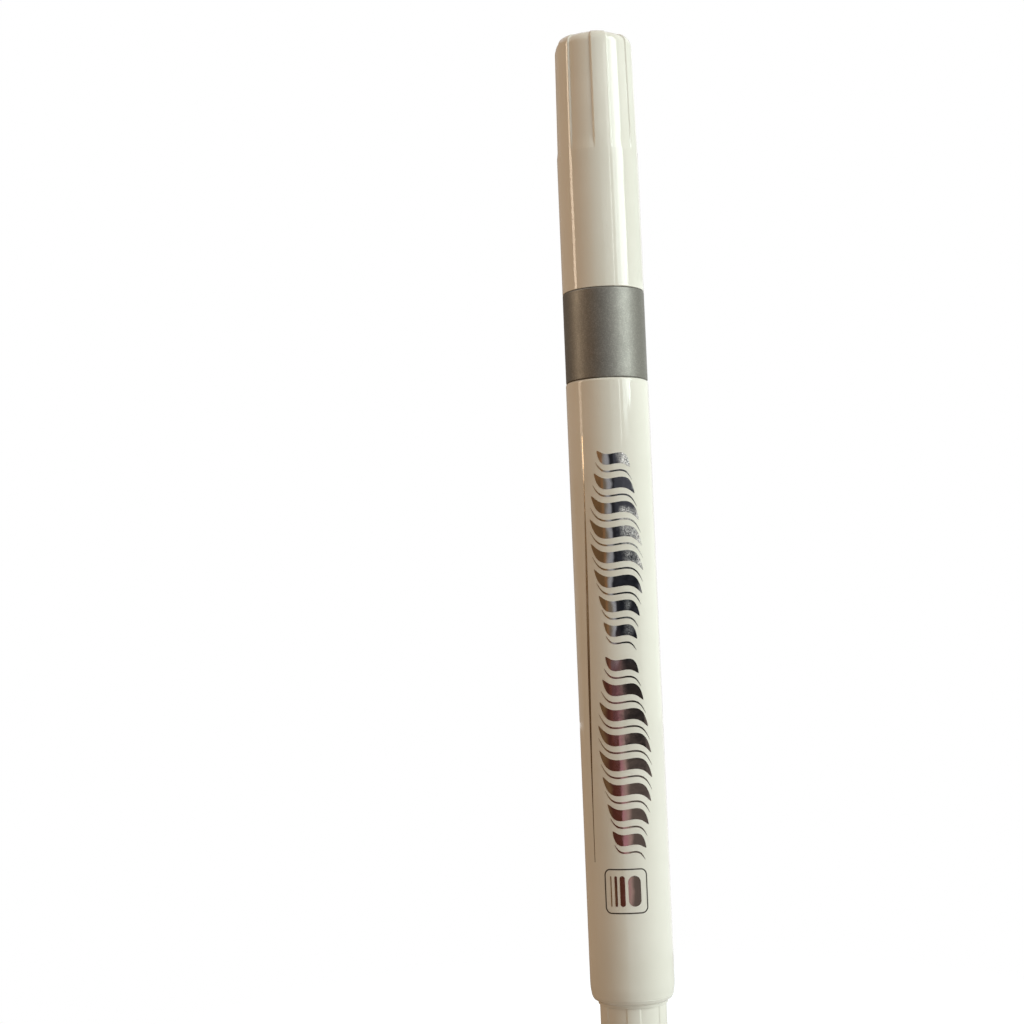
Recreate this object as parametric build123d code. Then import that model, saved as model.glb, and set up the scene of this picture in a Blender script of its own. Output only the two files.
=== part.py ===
"""Valve-action paint marker, standing on its tail with the cap on.

The marker's axis is Z, its tail stands on z = 0 and its cap points up.  All sizes are in millimetres.
Every piece but the coil spring is turned about Z; flutes, grooves and windows are then cut into it.
"""
import math
import os

from build123d import *

# Outside, from the tail up
tail_length = 9.0
tail_diameter = 9.3
barrel_length = 85.4
barrel_diameter = 11.6
ring_length = 12.6
ring_diameter = 11.44
cap_length = 36.5
cap_diameter = 11.44
crown_diameter = 11.0

# Clearances, each one measured at the radius or between two faces
press_clearance = 0.02
slide_clearance = 0.06
seat_gap = 0.04
cap_gap = 0.06

# Barrel
barrel_wall = 1.1
rear_wall = 3.0
rear_hole_diameter = 7.6
collar_diameter = 9.5
collar_length = 0.35
shoulder_round_diameter = 10.6
shoulder_round_length = 0.75
shoulder_line_diameter = 11.04
shoulder_line_length = 1.2
shoulder_length = 2.6
mouth_chamfer = 0.4
snap_height = 0.15
snap_length = 1.2
snap_depth = 5.0

# Tail plug
tail_chamfer = 0.5
plug_core_diameter = 4.4
plug_floor = 2.2
plug_barb_height = 0.25
plug_barb_length = 1.3

# Flutes: six sunk panels round the crown of the cap and six round the tail
flute_count = 6
crown_flute_width = 35.0
crown_flute_phase = 9.0
crown_flute_length = 17.0
crown_flute_foot_depth = 0.18
crown_flute_top_depth = 0.22
crown_flute_ramp = 1.3
tail_flute_width = 37.0
tail_flute_phase = 0.0
tail_flute_depth = 0.1

# Ring
ring_wall = 0.85
ring_lip = 0.8
ring_top_chamfer = 0.3
ring_foot_chamfer = 0.15

# Front section
spigot_length = 10.0
neck_length = 10.5
neck_relief = 0.12
grip_bead_length = 0.9
grip_bead_height = 4.8
land_diameter = 6.8
land_length = 4.6
nose_height = 23.0
nose_base_diameter = 6.2
nose_tip_diameter = 4.6
nose_chamfer = 0.35
neck_chamfer = 0.6
chamber_diameter = 5.2
guide_length = 17.5
feed_groove_count = 4
feed_groove_width = 0.7
feed_groove_depth = 0.4

# Nib
nib_diameter = 3.2
nib_point_diameter = 2.0
nib_reach = 5.2
nib_shank_length = 1.6
nib_length = 27.0
nib_point_rounding = 0.8

# Valve
valve_pocket_diameter = 7.0
valve_pocket_depth = 7.0
seat_length = 3.5
port_diameter = 2.7
seat_cone_diameter = 4.7
cage_drop = 7.0
cage_wall = 0.75
cage_floor = 1.0
cage_window_count = 4
cage_window_width = 2.4
cage_window_height = 4.4
guide_boss_wall = 0.35
stem_diameter = 1.8
stem_pad_diameter = 2.5
stem_pad_length = 1.2
stem_head_diameter = 4.2
stem_head_length = 2.2
stem_pin_diameter = 1.6
stem_pin_engagement = 0.5
stem_pin_end_gap = 0.1
seal_diameter = 4.0
seal_edge = 0.25
seal_port_margin = 0.2
spring_wire = 0.4
spring_diameter = 3.8
spring_turns = 3.0
valve_travel = 2.5

# Ball
ball_diameter = 5.5

# Cap
cap_wall = 0.9
crown_thickness = 1.6
crown_rounding = 1.5
cap_mouth_chamfer = 0.25
liner_wall = 0.55
liner_top = 0.7
liner_overlap = 2.6
liner_hold = 15.0

# Levels on the axis
barrel_foot = tail_length
barrel_mouth = barrel_foot + barrel_length
ring_top = barrel_mouth + ring_length
cap_mouth = ring_top + cap_gap
cap_top = ring_top + cap_length
spigot_foot = barrel_mouth - spigot_length
neck_top = ring_top + neck_length
land_top = neck_top + land_length
nose_top = ring_top + nose_height
guide_foot = nose_top - guide_length
nib_tip = nose_top + nib_reach
nib_foot = nib_tip - nib_length
pocket_top = spigot_foot + valve_pocket_depth
seat_foot = pocket_top - seat_length
cage_foot = spigot_foot - cage_drop
cage_floor_top = cage_foot + cage_floor
stem_pin_foot = cage_foot + stem_pin_end_gap + valve_travel
guide_boss_top = stem_pin_foot + stem_pin_engagement
liner_foot = land_top - liner_overlap
liner_pocket_foot = cap_top - crown_thickness - liner_hold

# Radii that pieces share
bore_radius = barrel_diameter / 2 - barrel_wall
spigot_radius = bore_radius - press_clearance
ring_bore_radius = ring_diameter / 2 - ring_wall
cap_bore_radius = cap_diameter / 2 - cap_wall
neck_radius = cap_bore_radius - neck_relief
bead_radius = cap_bore_radius - slide_clearance
pocket_radius = valve_pocket_diameter / 2
liner_bore_radius = land_diameter / 2 + slide_clearance
liner_radius = liner_bore_radius + liner_wall
cage_bore_radius = pocket_radius - press_clearance - cage_wall
snap_level = barrel_mouth - snap_depth

# The seal's 45 degree cone lies parallel to the seat's, seat_gap away from it
seal_radius = seal_diameter / 2
seal_cone_sum = seat_cone_diameter / 2 + seat_foot - math.sqrt(2) * seat_gap
seal_foot = seal_cone_sum - seal_radius - seal_edge
head_top = seal_foot - press_clearance
head_foot = head_top - stem_head_length

# The ball rests on the rim of the plug's core
plug_top = barrel_foot + rear_wall + plug_barb_length + 2 * plug_barb_height
ball_radius = ball_diameter / 2
ball_level = plug_top + math.sqrt(ball_radius**2 - (plug_core_diameter / 2) ** 2) + seat_gap


def profile(corners):
    """Face in the XZ plane; a corner is (radius, height) or (radius, height, rounding)."""
    points = [corner[:2] for corner in corners]
    roundings = [corner[2] if len(corner) == 3 else 0 for corner in corners]
    return Plane.XZ * make_face(FilletPolyline(*points, radius=roundings, close=True))


def turned(*corners):
    """Turn a closed profile about Z."""
    return revolve(profile(corners), Axis.Z)


def around(shape, count, phase=0.0):
    """Copies of a shape set evenly about Z, the first one turned by phase degrees."""
    return [Rot(0, 0, phase + i * 360 / count) * shape for i in range(count)]


def flute(width, *corners):
    """Cutter for one sunk panel: a profile swept through width degrees, centred on X."""
    return Rot(0, 0, -width / 2) * revolve(profile(corners), Axis.Z, revolution_arc=width)


def bead(radius, height, length, level):
    """Ring with two sloped flanks that meet in its crest."""
    return turned(
        (radius - height, level - length / 2),
        (radius, level - length / 2),
        (radius + height, level),
        (radius, level + length / 2),
        (radius - height, level + length / 2),
    )


def rounded(radius, top, rounding, bands):
    """Corners of an outer edge that is rounded by a few cone bands, from the wall up to the top face."""
    turns = [i * math.pi / 2 / bands for i in range(bands + 1)]
    return [(radius - rounding * (1 - math.cos(t)), top - rounding * (1 - math.sin(t))) for t in turns]


def make_barrel():
    """Reservoir tube with a rounded shoulder, a stepped rear hole and a snap groove near its mouth."""
    radius = barrel_diameter / 2
    hole = rear_hole_diameter / 2
    step_top = barrel_foot + rear_wall + bore_radius - hole
    body = turned(
        (hole, barrel_foot),
        (collar_diameter / 2, barrel_foot),
        (collar_diameter / 2, barrel_foot + collar_length),
        (shoulder_round_diameter / 2, barrel_foot + shoulder_round_length),
        (shoulder_line_diameter / 2, barrel_foot + shoulder_line_length),
        (radius, barrel_foot + shoulder_length),
        (radius, barrel_mouth - mouth_chamfer),
        (radius - mouth_chamfer, barrel_mouth),
        (bore_radius, barrel_mouth),
        (bore_radius, step_top),
        (hole, barrel_foot + rear_wall),
    )
    return body - bead(bore_radius, snap_height + press_clearance, snap_length, snap_level)


def make_tail_plug():
    """Fluted end piece: a cored spigot with a barb holds it in the barrel's rear hole."""
    radius = tail_diameter / 2
    hole = rear_hole_diameter / 2
    core = plug_core_diameter / 2
    barb_foot = barrel_foot + rear_wall + 2 * plug_barb_height
    plug = turned(
        (0, 0),
        (radius - tail_chamfer, 0),
        (radius, tail_chamfer),
        (radius, barrel_foot),
        (hole - press_clearance, barrel_foot),
        (hole - press_clearance, barb_foot - plug_barb_height),
        (hole + plug_barb_height, barb_foot),
        (hole - plug_barb_height, plug_top),
        (core, plug_top),
        (core, plug_floor),
        (0, plug_floor),
    )
    cutter = flute(
        tail_flute_width,
        (radius - tail_flute_depth, -tail_chamfer),
        (radius + tail_chamfer, -tail_chamfer),
        (radius + tail_chamfer, barrel_foot),
        (radius - tail_flute_depth, barrel_foot),
    )
    return plug - around(cutter, flute_count, tail_flute_phase)


def make_ring():
    """Colour ring: its inner lip is held between the section's shoulder and the barrel's mouth."""
    radius = ring_diameter / 2
    lip_radius = spigot_radius + press_clearance
    return turned(
        (lip_radius, barrel_mouth),
        (radius - ring_foot_chamfer, barrel_mouth),
        (radius, barrel_mouth + ring_foot_chamfer),
        (radius, ring_top - ring_top_chamfer),
        (radius - ring_top_chamfer, ring_top),
        (ring_bore_radius, ring_top),
        (ring_bore_radius, barrel_mouth + ring_lip),
        (lip_radius, barrel_mouth + ring_lip),
    )


def make_section():
    """Front section: spigot, seat for the ring, neck for the cap, sealing land, nose and nib bore."""
    seat_radius = ring_bore_radius - press_clearance
    shoulder = barrel_mouth + ring_lip + press_clearance
    guide_radius = nib_diameter / 2 + slide_clearance
    chamber_radius = chamber_diameter / 2
    body = turned(
        (pocket_radius, spigot_foot),
        (spigot_radius, spigot_foot),
        (spigot_radius, shoulder),
        (seat_radius, shoulder),
        (seat_radius, ring_top),
        (neck_radius, ring_top),
        (neck_radius, neck_top - neck_chamfer),
        (neck_radius - neck_chamfer, neck_top),
        (land_diameter / 2, neck_top),
        (land_diameter / 2, land_top),
        (nose_base_diameter / 2, land_top),
        (nose_tip_diameter / 2, nose_top - nose_chamfer),
        (nose_tip_diameter / 2 - nose_chamfer, nose_top),
        (guide_radius, nose_top),
        (guide_radius, guide_foot),
        (chamber_radius, guide_foot - (chamber_radius - guide_radius)),
        (chamber_radius, pocket_top),
        (pocket_radius, pocket_top),
    )
    body += bead(spigot_radius, snap_height, snap_length, snap_level)
    body += bead(neck_radius, bead_radius - neck_radius, grip_bead_length, ring_top + grip_bead_height)
    groove = Pos(guide_radius, 0, (nose_top + guide_foot) / 2) * Box(
        2 * feed_groove_depth, feed_groove_width, 2 * guide_length
    )
    return body - around(groove, feed_groove_count)


def make_nib():
    """Bullet nib: a straight fibre rod that narrows to a rounded point."""
    radius = nib_diameter / 2
    point = nib_point_diameter / 2
    shank_top = nose_top + nib_shank_length
    return turned(
        (0, nib_foot),
        (radius, nib_foot),
        (radius, shank_top),
        *rounded(point, nib_tip, nib_point_rounding, 2),
        (0, nib_tip),
    )


def make_valve_seat():
    """Disc with the paint port; the port opens into a cone on the reservoir's side."""
    port = port_diameter / 2
    edge = pocket_radius - press_clearance
    cone_top = seat_foot + seat_cone_diameter / 2 - port
    return turned(
        (port, cone_top),
        (seat_cone_diameter / 2, seat_foot),
        (edge, seat_foot),
        (edge, pocket_top),
        (port, pocket_top),
    )


def make_valve_cage():
    """Slotted cup under the seat: its floor carries the spring and guides the stem's pin."""
    edge = pocket_radius - press_clearance
    pin_hole = stem_pin_diameter / 2 + slide_clearance
    boss = pin_hole + guide_boss_wall
    cup = turned(
        (pin_hole, cage_foot),
        (edge, cage_foot),
        (edge, seat_foot),
        (cage_bore_radius, seat_foot),
        (cage_bore_radius, cage_floor_top),
        (boss, cage_floor_top),
        (boss, guide_boss_top),
        (pin_hole, guide_boss_top),
    )
    window_level = (cage_floor_top + spigot_foot) / 2
    window = Pos(edge, 0, window_level) * Box(4 * cage_wall, cage_window_width, cage_window_height)
    return cup - around(window, cage_window_count)


def make_valve_stem():
    """Poppet: a pad that meets the nib, a long shaft, the head and a pin inside the spring."""
    shaft = stem_diameter / 2
    pad = stem_pad_diameter / 2
    head = stem_head_diameter / 2
    pin = stem_pin_diameter / 2
    stem_top = nib_foot - seat_gap
    return turned(
        (0, stem_pin_foot),
        (pin, stem_pin_foot),
        (pin, head_foot),
        (head, head_foot),
        (head, head_top),
        (shaft, head_top),
        (shaft, stem_top - stem_pad_length),
        (pad, stem_top - stem_pad_length / 2),
        (pad, stem_top),
        (0, stem_top),
    )


def make_stem_seal():
    """Coned rubber washer round the stem, on top of its head; it closes the seat's cone."""
    hole = stem_diameter / 2 + press_clearance
    top_radius = port_diameter / 2 - seal_port_margin
    return turned(
        (hole, seal_foot),
        (seal_radius, seal_foot),
        (seal_radius, seal_foot + seal_edge),
        (top_radius, seal_cone_sum - top_radius),
        (hole, seal_cone_sum - top_radius),
    )


def make_valve_spring():
    """Open coil between the cage's floor and the stem's head: a wire with six flats on pairs of arcs."""
    coil_radius = (spring_diameter - spring_wire) / 2
    coil_foot = cage_floor_top + seat_gap + spring_wire / 2
    rise = head_foot - seat_gap - spring_wire / 2 - coil_foot
    steps = int(2 * spring_turns)
    points = []
    tangents = []
    for i in range(steps + 1):
        across = coil_radius * math.cos(math.pi * i)
        points.append(Vector(across, 0, coil_foot + rise * i / steps))
        tangents.append(Vector(0, across, rise / (steps * math.pi)).normalized())
    path = []
    for start, end, t_start, t_end in zip(points, points[1:], tangents, tangents[1:]):
        chord = end - start
        along = chord.dot(t_start + t_end)
        bend = 2 * (1 - t_start.dot(t_end))
        reach = (math.sqrt(along**2 + bend * chord.dot(chord)) - along) / bend
        middle = (start + t_start * reach + end - t_end * reach) * 0.5
        first = Edge.make_tangent_arc(start, t_start, middle)
        path += [first, Edge.make_tangent_arc(middle, first % 1, end)]
    print("spring: least gap between turns", round(rise / spring_turns - spring_wire, 3), "mm")
    wire = Plane(points[0], z_dir=tangents[0]) * RegularPolygon(spring_wire / 2, 6)
    return sweep(wire, path=Wire(path), clean=False)


def make_ball():
    """Steel ball that stirs the paint; it rests on the rim of the tail plug's core."""
    return Pos(0, 0, ball_level) * Sphere(ball_radius)


def make_cap_shell():
    """Pull-off cap: a stepped bore, a straight wall and a crown that tapers, with flutes up to its top."""
    radius = cap_diameter / 2
    crown_radius = crown_diameter / 2
    pocket = liner_radius + press_clearance
    ceiling = cap_top - crown_thickness
    flute_foot = cap_top - crown_flute_length
    shell = turned(
        (0, ceiling),
        (pocket, ceiling),
        (pocket, liner_pocket_foot),
        (cap_bore_radius, liner_pocket_foot - (cap_bore_radius - pocket)),
        (cap_bore_radius, cap_mouth),
        (radius - cap_mouth_chamfer, cap_mouth),
        (radius, cap_mouth + cap_mouth_chamfer),
        (radius, flute_foot),
        *rounded(crown_radius, cap_top, crown_rounding, 3),
        (0, cap_top),
    )
    cutter = flute(
        crown_flute_width,
        (radius + crown_flute_foot_depth, flute_foot - crown_flute_ramp),
        (radius - crown_flute_foot_depth, flute_foot + crown_flute_ramp, 2 * crown_flute_ramp),
        (crown_radius - crown_flute_top_depth, cap_top + crown_rounding),
        (radius + crown_flute_foot_depth, cap_top + crown_rounding),
    )
    return shell - around(cutter, flute_count, crown_flute_phase)


def make_cap_liner():
    """Soft inner cup, pressed into the crown; its rim slides over the section's sealing land."""
    ceiling = cap_top - crown_thickness - press_clearance
    return turned(
        (0, ceiling - liner_top),
        (liner_bore_radius, ceiling - liner_top),
        (liner_bore_radius, liner_foot),
        (liner_radius, liner_foot),
        (liner_radius, ceiling),
        (0, ceiling),
    )


pieces = {
    "barrel": make_barrel(),
    "tail_plug": make_tail_plug(),
    "color_ring": make_ring(),
    "front_section": make_section(),
    "nib": make_nib(),
    "valve_seat": make_valve_seat(),
    "valve_cage": make_valve_cage(),
    "valve_stem": make_valve_stem(),
    "stem_seal": make_stem_seal(),
    "valve_spring": make_valve_spring(),
    "mixing_ball": make_ball(),
    "cap_shell": make_cap_shell(),
    "cap_liner": make_cap_liner(),
}

os.makedirs("parts", exist_ok=True)
for name, piece in pieces.items():
    export_step(piece, f"parts/{name}.step")
    print(name, round(piece.volume, 3), "mm3")

print("ball travel", round(cage_foot - seat_gap - ball_radius - ball_level, 3), "mm")
print("nib travel", valve_travel, "mm, height", cap_top, "mm")
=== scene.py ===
# %% [markdown]
# # A paint marker, dressed for its portrait
#
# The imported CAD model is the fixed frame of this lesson: it says where every piece is and what moves.
# Blender adds what the solids lack: fine surfaces, moulded plastic, a sparkling ring and a foil print.
# Nearly everything on a marker is turned on one axis, so most pieces here are one formula: a profile
# carried round Z.  The marker's sizes are written in millimetres and times `MM` become Blender's metres.  The
# studio round it is written in metres from the start.

import bpy
import numpy as np
from mathutils import Matrix, Vector


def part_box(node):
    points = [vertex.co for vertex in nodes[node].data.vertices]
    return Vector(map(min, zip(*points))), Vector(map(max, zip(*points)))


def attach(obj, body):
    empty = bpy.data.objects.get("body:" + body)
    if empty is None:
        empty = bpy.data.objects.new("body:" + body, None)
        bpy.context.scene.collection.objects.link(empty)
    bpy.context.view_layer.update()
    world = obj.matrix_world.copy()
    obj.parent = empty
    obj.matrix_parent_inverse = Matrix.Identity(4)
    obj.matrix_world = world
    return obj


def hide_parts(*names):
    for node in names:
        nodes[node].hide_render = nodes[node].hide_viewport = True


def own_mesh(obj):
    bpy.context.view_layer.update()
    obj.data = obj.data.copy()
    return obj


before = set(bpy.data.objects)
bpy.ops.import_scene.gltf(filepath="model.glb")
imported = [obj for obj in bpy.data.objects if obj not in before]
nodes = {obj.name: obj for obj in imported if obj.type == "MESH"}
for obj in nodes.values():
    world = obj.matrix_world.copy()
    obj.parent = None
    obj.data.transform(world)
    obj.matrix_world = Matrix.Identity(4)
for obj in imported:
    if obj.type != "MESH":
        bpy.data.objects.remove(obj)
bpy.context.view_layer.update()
MM = 0.001

# %% [markdown]
# ## Camera
#
# The picture was taken a little below the middle of the marker, tilted up and turned to the left, so the
# marker leans and its tail leaves the frame.  A camera is only a place and three axes: right, up and back.
# Working the axes out from pitch, yaw and roll keeps each angle readable.

# %% Camera
camera_place = Vector((0, -239.1, 59.82)) * MM
pitch, yaw, roll = np.radians([4.056, -3.358, -2.2])

look = np.array([np.sin(yaw) * np.cos(pitch), np.cos(yaw) * np.cos(pitch), np.sin(pitch)])
level = np.array([np.cos(yaw), -np.sin(yaw), 0])
upright = np.cross(level, look)
right = level * np.cos(roll) + upright * np.sin(roll)
up = upright * np.cos(roll) - level * np.sin(roll)

lens = bpy.data.cameras.new("camera")
lens.lens = 60.25
lens.sensor_width = 36
lens.clip_start = 0.01
camera = bpy.data.objects.new("camera", lens)
camera.matrix_world = Matrix.Translation(camera_place) @ Matrix(np.column_stack([right, up, -look])).to_4x4()
bpy.context.scene.collection.objects.link(camera)
bpy.context.scene.camera = camera
bpy.context.scene.view_settings.view_transform = "Standard"
print("camera looks along", np.round(look, 3))

# %% [markdown]
# ## Two helpers: a profile with eased corners, and a lathe
#
# A real moulding has no knife edges, and it is the tiny rounding that catches light.  So a profile is a list
# of corners, each with its own rounding, and `eased` replaces a corner by an arc.  `lathe` carries the
# profile round the axis.  Going up on the outside and down on the inside makes the faces point outwards.
# Blender's Screw modifier could do the same, but whole arrays let a later step press flutes into the wall.


# %% Profile and lathe
def eased(corners, steps=6):
    """Closed profile from (radius, height, rounding) corners.

    Each corner P with unit directions a and b to its neighbours becomes the arc of that rounding which
    touches both sides: its centre lies on the bisector a + b, and points turn from one touch to the other.
    One more point just beyond either touch keeps the shading of a long straight side straight.
    """
    beyond = 1.2
    spots = np.array([corner[:2] for corner in corners], float)
    runs = []
    for i, corner in enumerate(corners):
        rounding = corner[2] if len(corner) == 3 else 0
        if rounding == 0:
            runs.append(spots[i][None])
            continue
        a = spots[i - 1] - spots[i]
        b = spots[(i + 1) % len(spots)] - spots[i]
        a /= np.linalg.norm(a)
        b /= np.linalg.norm(b)
        half = np.arccos(np.clip(a @ b, -1, 1)) / 2
        touch = rounding / np.tan(half)
        centre = spots[i] + (a + b) / np.linalg.norm(a + b) * rounding / np.sin(half)
        first = spots[i] + a * touch - centre
        last = spots[i] + b * touch - centre
        sweep = np.pi - 2 * half
        t = np.linspace(0, 1, steps + 1)[:, None]
        arc = centre + (np.sin((1 - t) * sweep) * first + np.sin(t * sweep) * last) / np.sin(sweep)
        runs.append(np.concatenate([[spots[i] + beyond * touch * a], arc, [spots[i] + beyond * touch * b]]))
    return np.concatenate(runs)


def finer(profile, longest, beyond=-np.inf):
    """The same closed profile, with sides over `longest` and outside radius `beyond` in equal shares."""
    ahead = np.roll(profile, -1, axis=0)
    shares = np.maximum(1, np.ceil(np.linalg.norm(ahead - profile, axis=1) / longest))
    shares = np.where(np.minimum(profile[:, 0], ahead[:, 0]) > beyond, shares, 1).astype(int)
    split = [np.linspace(p, q, n, endpoint=False) for p, q, n in zip(profile, ahead, shares)]
    return np.concatenate(split)


def new_piece(name, points, faces, body, sharp=32):
    """Mesh object at the origin from points in millimetres, smooth but for edges above `sharp` degrees."""
    mesh = bpy.data.meshes.new(name)
    mesh.from_pydata(points * MM, [], faces)
    mesh.shade_smooth()
    mesh.set_sharp_from_angle(angle=np.radians(sharp))
    piece = bpy.data.objects.new(name, mesh)
    bpy.context.scene.collection.objects.link(piece)
    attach(piece, body)
    print(f"{name}: {len(points)} points, {len(faces)} faces")
    return piece


def lathe(name, profile, body, turns=192, press=None):
    """A profile carried round Z: point (i, j) is (r_i cos t_j, r_i sin t_j, z_i), with r changed by `press`.

    A profile point on the axis becomes one single pole with a fan of triangles.
    """
    around = np.arange(turns) * 2 * np.pi / turns
    radius = np.repeat(profile[:, :1], turns, axis=1)
    height = np.repeat(profile[:, 1:], turns, axis=1)
    if press is not None:
        radius = press(radius, height, around)
    grid = np.stack([radius * np.cos(around), radius * np.sin(around), height], axis=-1)
    on_axis = profile[:, 0] < 1e-9
    row = np.repeat(np.arange(len(profile))[:, None], turns, axis=1)
    index = row * turns + np.where(on_axis[:, None], 0, np.arange(turns))
    below, above = index, np.roll(index, -1, axis=0)
    quads = np.stack([below, np.roll(below, -1, axis=1), np.roll(above, -1, axis=1), above], axis=-1)
    pole_below, pole_above = on_axis, np.roll(on_axis, -1)
    walls = quads[~pole_below & ~pole_above].reshape(-1, 4)
    fans = [quads[pole_below & ~pole_above][..., [0, 2, 3]], quads[~pole_below & pole_above][..., [0, 1, 2]]]
    faces = [walls, *[fan.reshape(-1, 3) for fan in fans]]
    used = np.unique(np.concatenate([f.ravel() for f in faces]))
    renumber = np.zeros(grid.shape[0] * turns, int)
    renumber[used] = np.arange(len(used))
    listed = [face for f in faces for face in renumber[f].tolist()]
    return new_piece(name, grid.reshape(-1, 3)[used], listed, body)


print("an eased square has", len(eased([(0, 0, 0.2), (1, 0, 0.2), (1, 1, 0.2), (0, 1, 0.2)])), "points")

# %% [markdown]
# ## Barrel
#
# The barrel is a white tube: a rounded shoulder with a fine seam at the rear, a long straight wall and a
# softened mouth.  A Cylinder primitive would need many cuts; one closed profile gives outside, mouth and bore
# in a single shell.  Its wall lies 0.03 mm inside the CAD wall, which leaves room for the print.

# %% Barrel
barrel_foot, barrel_mouth = 9.0, 94.4
barrel_radius, bore_radius, rear_hole = 5.8, 4.7, 3.8
lip_radius, bore_foot, hole_top = 4.75, 12.9, 12.0
print_room = 0.03
wall_radius = barrel_radius - print_room
lip_top, shoulder_top = barrel_foot + 0.35, barrel_foot + 2.4
rim_radius, rim_level = 5.36, barrel_foot + 0.72
seam_radius, seam_level, seam_half = 5.55, barrel_foot + 1.2, 0.06

barrel = lathe(
    "barrel_tube",
    eased([
        (rear_hole, barrel_foot, 0.1),
        (lip_radius, barrel_foot, 0.05),
        (lip_radius, lip_top, 0.1),
        (rim_radius, rim_level, 0.3),
        (seam_radius + 0.02, seam_level - seam_half, 0.02),
        (seam_radius, seam_level, 0.02),
        (seam_radius + 0.05, seam_level + seam_half, 0.02),
        (wall_radius, shoulder_top, 6.0),
        (wall_radius, barrel_mouth, 0.38),
        (bore_radius, barrel_mouth, 0.08),
        (bore_radius, bore_foot, 0.05),
        (rear_hole, hole_top, 0.05),
    ]),
    "marker",
    turns=240,
)
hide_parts("barrel")

# %% [markdown]
# ## Flutes
#
# Six shallow panels are sunk into the crown of the cap, and six into the tail.  They could be cut with
# booleans, but a boolean leaves ragged shading on a thin step.  Instead the radius itself is a function of
# angle and height: the wall drops to the flute's floor where the angle lies inside a flute.


# %% Flutes
flute_count, flute_bank = 6, 2.4


def soft_max(a, b, soft):
    """The larger of a and b; the corner where they meet is rounded by a parabola from -soft to +soft."""
    t = np.clip(0.5 + (a - b) / (2 * soft), 0, 1)
    return b + (a - b) * t + soft * t * (1 - t)


def off_middle(around, count, phase):
    """Angle from the middle of the nearest of `count` places, the first of them at `phase` degrees."""
    pitch_angle = 2 * np.pi / count
    return (around - np.radians(phase) + pitch_angle / 2) % pitch_angle - pitch_angle / 2


def s_curve(value, width):
    """Nought below -width / 2, one above +width / 2 and the curve 3 t^2 - 2 t^3 between."""
    t = np.clip(value / width + 0.5, 0, 1)
    return t * t * (3 - 2 * t)


def sunk(radius, floor, off, width, bank, soft):
    """Radius lowered to the floor inside each flute, with an S-curve of `bank` degrees along either side."""
    inside = s_curve(np.radians(width / 2) - np.abs(off), np.radians(bank))
    return radius - inside * soft_max(radius - floor, 0, soft)


print("a flute's bank in five steps:", s_curve(np.linspace(-0.5, 0.5, 5), 1))

# %% [markdown]
# ## Cap
#
# The cap is a straight tube that tapers a little along its crown, with a rounded top.  Its flutes start in a
# small scoop, deepen towards the top and run out over the rounded edge, as the light lines on it show.

# %% Cap
cap_mouth, cap_top = 107.02, 143.5
cap_radius, crown_radius, cap_bore = 5.72, 5.5, 4.82
cup_radius, cup_foot, cup_roof = 4.03, 126.9, 141.9
cone_foot = 126.1
flute_foot, flute_width, flute_phase = 126.5, 35, 9
flute_depth, scoop_slope, lean_slope = 0.18, 0.14, 0.015
edge_rounding, edge_depth, edge_gain = 1.5, 0.2125, 0.16
pole_room = 0.1


def press_crown(radius, height, around):
    """Flute floor: a steep line out of the wall meets a gentle one that leans in towards the top.

    Over the rounded edge the floor keeps under the wall, by 0.21 mm at first and 0.37 mm at the top, and
    this depth runs out towards the middle of the top.
    """
    scoop = cap_radius - scoop_slope * (height - flute_foot)
    lean = cap_radius - flute_depth - lean_slope * (height - flute_foot)
    floor = soft_max(scoop, lean, soft=0.1)
    over = np.clip((height - cap_top) / edge_rounding + 1, 0, 1)
    under = (edge_depth + edge_gain * over**2) * np.minimum(1, radius / (crown_radius - edge_rounding))
    floor = np.where((over > 0) & (radius > pole_room), radius - under, floor)
    off = off_middle(around, flute_count, flute_phase)
    return sunk(radius, floor, off, flute_width, flute_bank, soft=0.03)


cap = lathe(
    "cap_shell_moulding",
    finer(eased([
        (0, cup_roof),
        (cup_radius, cup_roof, 0.1),
        (cup_radius, cup_foot, 0.1),
        (cap_bore, cone_foot, 0.1),
        (cap_bore, cap_mouth, 0.1),
        (cap_radius, cap_mouth, 0.1),
        (cap_radius, flute_foot, 3.0),
        (crown_radius, cap_top, edge_rounding),
        (0, cap_top),
    ], steps=8), longest=0.6, beyond=5),
    "cap",
    turns=640,
    press=press_crown,
)
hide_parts("cap_shell")

# %% Liner inside the cap
liner_radius, liner_bore = 4.01, 3.46
liner_mouth, liner_roof, liner_top = 119.5, 141.18, 141.88

liner = lathe(
    "cap_liner_cup",
    eased([
        (0, liner_roof),
        (liner_bore, liner_roof, 0.3),
        (liner_bore, liner_mouth, 0.15),
        (liner_radius, liner_mouth, 0.2),
        (liner_radius, liner_top, 0.3),
        (0, liner_top),
    ]),
    "cap",
    turns=128,
)
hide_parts("cap_liner")

# %% [markdown]
# ## Tail plug
#
# The plug closes the barrel's rear.  Its flutes run along all that shows and out over the rounded end.

# %% Tail plug
tail_radius, plug_radius, hollow_radius = 4.65, 3.78, 2.2
tail_top, plug_top, hollow_foot = barrel_foot - 0.03, 13.8, 2.2
snap_foot, snap_level, snap_radius, lead_radius = 12.25, 12.5, 4.05, 3.55
tail_flute_width, tail_flute_depth = 37, 0.1


def press_tail(radius, height, around):
    """The floor is level, a tenth of a millimetre under the wall; inside the barrel nothing is pressed."""
    floor = np.where(height < barrel_foot, tail_radius - tail_flute_depth, tail_radius)
    off = off_middle(around, flute_count, phase=0)
    return sunk(radius, floor, off, tail_flute_width, flute_bank, soft=0.02)


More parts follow.
